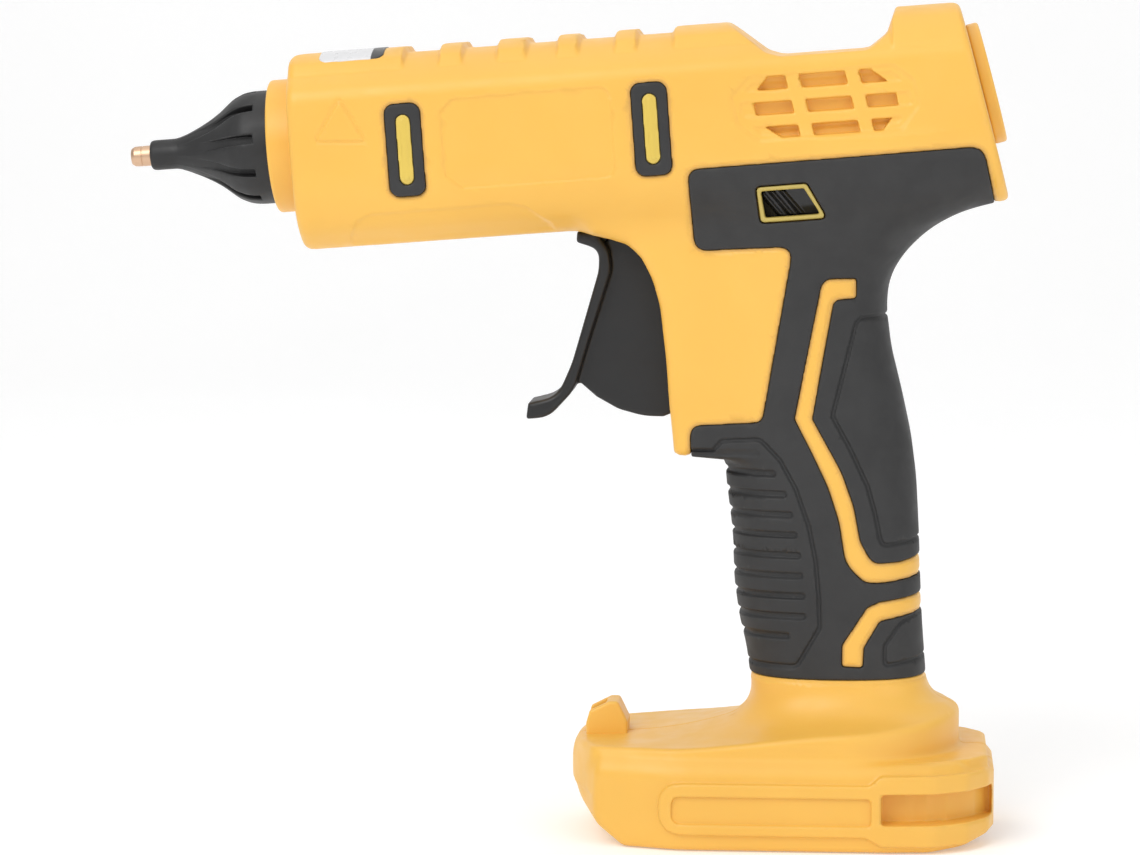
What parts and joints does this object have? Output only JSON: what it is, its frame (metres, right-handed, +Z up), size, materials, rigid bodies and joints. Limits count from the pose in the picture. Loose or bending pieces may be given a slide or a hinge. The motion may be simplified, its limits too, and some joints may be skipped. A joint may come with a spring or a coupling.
{
  "type": "cordless glue gun",
  "caption": "Cordless hot-glue gun with a pistol grip, rubber overmould, trigger feed, heated nozzle and a slide-on battery foot.",
  "frame": {"origin": "middle of the overall box, on the foot's underside", "axes": "+X from the nozzle to the rear, +Y towards the right side of the tool, +Z up from the foot to the barrel"},
  "size_m": [0.2454, 0.076, 0.2312],
  "materials": {
    "yellow_abs": "satin moulded",
    "olive_abs": "satin moulded",
    "black_rubber": "matte overmould",
    "boot_silicone": "satin silicone",
    "red_silicone": "satin silicone",
    "black_plastic": "satin moulded",
    "gloss_black": "polished",
    "brass": "machined",
    "chamber_alloy": "cast",
    "steel": "zinc plated",
    "ceramic": "unglazed",
    "board": "lacquered",
    "clear_lens": "clear"
  },
  "bodies": {
    "tool": {"nozzle": "brass", "nozzle_boot": "boot_silicone", "nose_collar": "yellow_abs", "melt_chamber": "chamber_alloy", "heater_plate": "ceramic", "heater_clamp": "steel", "thermal_fuse": "steel", "front_chamber_support": "ceramic", "rear_chamber_support": "ceramic", "inlet_sleeve": "red_silicone", "inlet_clamp": "steel", "front_rod_bracket": "black_plastic", "rear_rod_bracket": "black_plastic", "left_guide_rod": "steel", "right_guide_rod": "steel", "rear_cap": "yellow_abs", "left_housing": "yellow_abs", "left_grip_overmould": "black_rubber", "left_front_pad": "black_rubber", "left_rear_pad": "black_rubber", "right_housing": "yellow_abs", "right_grip_overmould": "black_rubber", "right_front_pad": "black_rubber", "right_rear_pad": "black_rubber", "trigger_pin": "steel", "return_spring": "steel", "spring_post": "steel", "switch_bezel": "olive_abs", "power_switch": "black_plastic", "lamp_hood": "yellow_abs", "lamp_lens": "clear_lens", "lamp_board": "board", "terminal_block": "black_plastic", "positive_blade": "brass", "signal_blade": "brass", "negative_blade": "brass", "control_board": "board", "heat_regulator": "black_plastic", "smoothing_capacitor": "black_plastic", "housing_screw_1": "steel", "housing_screw_2": "steel", "housing_screw_3": "steel", "housing_screw_4": "steel", "housing_screw_5": "steel", "housing_screw_6": "steel", "housing_screw_7": "steel", "housing_screw_8": "steel"},
    "trigger": {"trigger": "black_plastic"},
    "carriage": {"stick_carriage": "black_plastic"},
    "gripper": {"stick_gripper": "steel"},
    "slider": {"switch_slider": "gloss_black"}
  },
  "joints": [
    {"name": "trigger_pull", "type": "hinge", "parent": "tool", "child": "trigger", "pos_m": [0.01799, 0, 0.17198], "axis": [0, -1, 0], "range_deg": [0, 20], "stiffness_Nm_per_rad": 0.6, "springref_deg": -20.05, "deforming": ["return_spring"]},
    {"name": "carriage_slide", "type": "slide", "parent": "tool", "child": "carriage", "axis": [-0.9972, 0, -0.075], "range_m": [0, 0.0055]},
    {"name": "gripper_tilt", "type": "hinge", "parent": "carriage", "child": "gripper", "pos_m": [0.01837, 0, 0.20911], "axis": [0, -1, 0], "range_deg": [0, 8.2]},
    {"name": "switch_slide", "type": "slide", "parent": "tool", "child": "slider", "axis": [0.9972, 0, 0.075], "range_m": [0, 0.0045]}
  ],
  "couplings": [
    {"joint": "carriage_slide", "follows": "trigger_pull", "m_per_rad": 0.015578},
    {"joint": "gripper_tilt", "follows": "trigger_pull", "ratio": 0.4}
  ]
}
